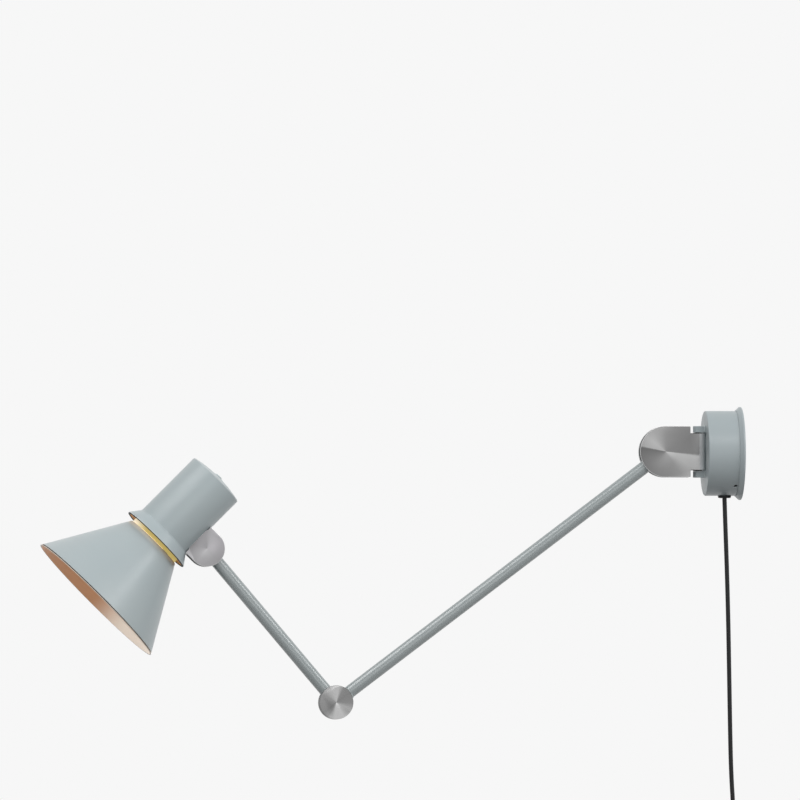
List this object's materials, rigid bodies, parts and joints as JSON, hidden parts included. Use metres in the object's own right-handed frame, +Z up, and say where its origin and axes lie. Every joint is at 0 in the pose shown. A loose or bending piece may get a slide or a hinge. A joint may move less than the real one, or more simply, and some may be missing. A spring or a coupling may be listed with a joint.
{
  "type": "articulating wall lamp",
  "caption": "Wall lamp with a round wall mount, a swivelling bracket, two straight tubular arms with a friction elbow, and a tilting conical shade with a ventilated body and plug-in cord.",
  "frame": {"origin": "centre of the wall plate's back face, on the wall plane", "axes": "+X into the wall, +Z up, +Y away from the picture's camera, so that the lamp reaches out along -X"},
  "size_m": [0.7031, 0.1556, 0.5405],
  "materials": {
    "drum_paint": "satin light grey paint",
    "shade_paint": "satin pale blue-grey paint",
    "spun_steel": "stainless, brushed in circles",
    "arm_paint": "satin grey-green paint",
    "ring_amber": "translucent amber",
    "pin_steel": "ground steel",
    "carrier_steel": "plain sheet",
    "zinc_screw": "zinc plated",
    "washer_fibre": "dark fibre",
    "black_plastic": "moulded, fine grain",
    "holder_plastic": "black heat-resistant moulding",
    "block_plastic": "off-white moulding",
    "screw_brass": "plain",
    "shell_brass": "drawn",
    "bulb_cap_metal": "drawn",
    "bulb_frost": "frosted",
    "cord_black": "smooth black sheath",
    "tie_black": "strap",
    "plug_black": "moulded",
    "pin_nickel": "nickel plated"
  },
  "bodies": {
    "wall_mount": {"wall_plate": "drum_paint", "canopy": "drum_paint", "canopy_screws": "zinc_screw", "swivel_pin": "pin_steel", "cord_gland": "black_plastic", "terminal_block": "block_plastic", "terminal_screws": "screw_brass", "supply_lead": "cord_black", "cord_drop": "cord_black", "cord_coil": "cord_black", "cord_tie": "tie_black", "cord_tail": "cord_black", "plug_relief": "plug_black", "plug_body": "plug_black", "plug_pins": "pin_nickel"},
    "swivel": {"wall_bracket": "spun_steel", "swivel_block": "pin_steel", "swivel_washers": "washer_fibre", "tilt_pin": "pin_steel"},
    "long_arm": {"wall_knuckle": "arm_paint", "tilt_washers": "washer_fibre", "long_arm_tube": "arm_paint", "long_arm_lead": "cord_black", "elbow_fork": "arm_paint", "elbow_pin": "pin_steel", "elbow_disc_near": "spun_steel", "elbow_disc_far": "spun_steel"},
    "short_arm": {"elbow_eye": "arm_paint", "elbow_washers": "washer_fibre", "short_arm_tube": "arm_paint", "short_arm_lead": "cord_black", "head_knuckle": "arm_paint", "head_washers": "washer_fibre"},
    "head": {"lamp_body": "shade_paint", "cone_shade": "shade_paint", "shade_spider": "carrier_steel", "light_ring": "ring_amber", "lampholder": "holder_plastic", "thread_shell": "shell_brass", "bulb_cap": "bulb_cap_metal", "bulb_glass": "bulb_frost", "head_bracket": "spun_steel", "head_pin": "pin_steel", "bracket_screws": "zinc_screw", "switch_body": "black_plastic", "switch_bezel": "pin_steel"},
    "switch": {"switch_button": "black_plastic"}
  },
  "joints": [
    {"name": "wall_swivel", "type": "hinge", "parent": "wall_mount", "child": "swivel", "pos_m": [-0.0434, 0, 0.0015], "axis": [0, 0, 1], "range_deg": [-60, 60]},
    {"name": "arm_tilt", "type": "hinge", "parent": "swivel", "child": "long_arm", "pos_m": [-0.0764, 0, 0.0015], "axis": [0, 1, 0], "range_deg": [-22, 95]},
    {"name": "elbow", "type": "hinge", "parent": "long_arm", "child": "short_arm", "pos_m": [-0.40731, 0, -0.24995], "axis": [0, 1, 0], "range_deg": [-130, 33]},
    {"name": "head_tilt", "type": "hinge", "parent": "short_arm", "child": "head", "pos_m": [-0.53731, 0, -0.09665], "axis": [0, 1, 0], "range_deg": [-60, 90]},
    {"name": "switch_press", "type": "slide", "parent": "head", "child": "switch", "axis": [-0.7071, 0, -0.7071], "range_m": [0, 0.0015], "stiffness_N_per_m": 1500}
  ]
}
